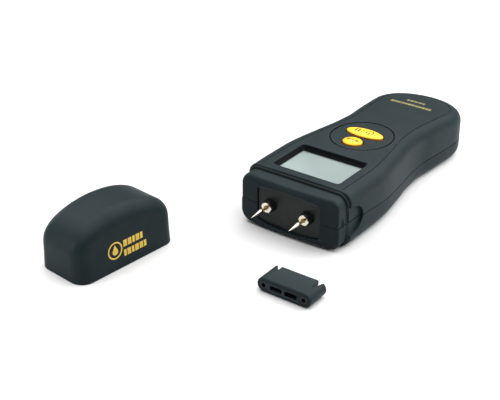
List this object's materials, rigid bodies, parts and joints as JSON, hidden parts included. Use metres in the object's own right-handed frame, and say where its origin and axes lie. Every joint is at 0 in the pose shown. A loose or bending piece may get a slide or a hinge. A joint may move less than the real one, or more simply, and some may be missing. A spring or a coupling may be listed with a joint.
{
  "type": "moisture meter",
  "caption": "Handheld pin moisture meter with an hourglass casing, display window, oval push buttons, probe pins, sliding battery door, push-on cap and pin block.",
  "frame": {"origin": "on the flat of the back, halfway along the casing and midway between its sides", "axes": "+Z out of the display face, -Y the way the probe pins point, +X to the reader's left when the markings are read, with the pins pointing away"},
  "size_m": [0.1308, 0.2535, 0.033],
  "materials": {
    "case_plastic": "fine-textured dark slate moulded plastic, satin to matt",
    "dark_plastic": "plain black moulded plastic",
    "button_plastic": "smooth yellow-orange plastic, slightly domed",
    "window_clear": "clear flat window",
    "display": "grey-green liquid crystal panel, blank",
    "seal_rubber": "black rubber",
    "nickel": "bright plated brass, pale gold",
    "steel": "ground steel",
    "brass": "plain brass",
    "tinned": "tinned metal",
    "board": "green circuit board with solder mask",
    "battery_jacket": "plain dark printed steel jacket",
    "foam": "open foam pad",
    "wire_red": "red insulated wire",
    "wire_black": "black insulated wire"
  },
  "bodies": {
    "casing": {"battery_9v": "battery_jacket", "battery_foam": "foam", "battery_snap": "wire_black", "battery_wire_black": "wire_black", "battery_wire_red": "wire_red", "board_screw_left": "steel", "board_screw_right": "steel", "bottom_case": "case_plastic", "circuit_board": "board", "contact_strip": "seal_rubber", "crystal_can": "tinned", "display_glass": "display", "display_holder": "dark_plastic", "display_lens": "window_clear", "front_screw_left": "steel", "front_screw_right": "steel", "head_seal": "seal_rubber", "hex_nut_left": "nickel", "hex_nut_right": "nickel", "main_chip": "dark_plastic", "pin_collar_left": "dark_plastic", "pin_collar_right": "dark_plastic", "pin_plate": "dark_plastic", "pin_wire_left": "wire_black", "pin_wire_right": "wire_black", "power_switch": "dark_plastic", "probe_pin_left": "steel", "probe_pin_right": "steel", "rear_screw_left": "steel", "rear_screw_right": "steel", "select_switch": "dark_plastic", "smoothing_capacitor": "battery_jacket", "solder_tag_left": "tinned", "solder_tag_right": "tinned", "terminal_nut_left": "brass", "terminal_nut_right": "brass", "top_case": "case_plastic", "trimmer": "button_plastic"},
    "battery_door": {"battery_door": "case_plastic"},
    "power_button": {"power_button": "button_plastic"},
    "select_button": {"select_button": "button_plastic"},
    "cap": {"cap_shell": "case_plastic"},
    "pin_block": {"pin_block": "case_plastic", "block_sleeve_left": "dark_plastic", "block_sleeve_right": "dark_plastic"}
  },
  "joints": [
    {"name": "power_button_press", "type": "slide", "parent": "casing", "child": "power_button", "axis": [0, 0, -1], "range_m": [0, 0.0008], "stiffness_N_per_m": 1500},
    {"name": "select_button_press", "type": "slide", "parent": "casing", "child": "select_button", "axis": [0, 0, -1], "range_m": [0, 0.0008], "stiffness_N_per_m": 1500},
    {"name": "battery_door_slide", "type": "slide", "parent": "casing", "child": "battery_door", "axis": [0, 1, 0], "range_m": [0, 0.078]},
    {"name": "cap_lift", "type": "slide", "parent": "casing", "child": "cap", "axis": [0, 0, 1], "range_m": [0, 0.045]},
    {"name": "pin_block_lift", "type": "slide", "parent": "casing", "child": "pin_block", "axis": [0, 0, 1], "range_m": [0, 0.02]}
  ]
}
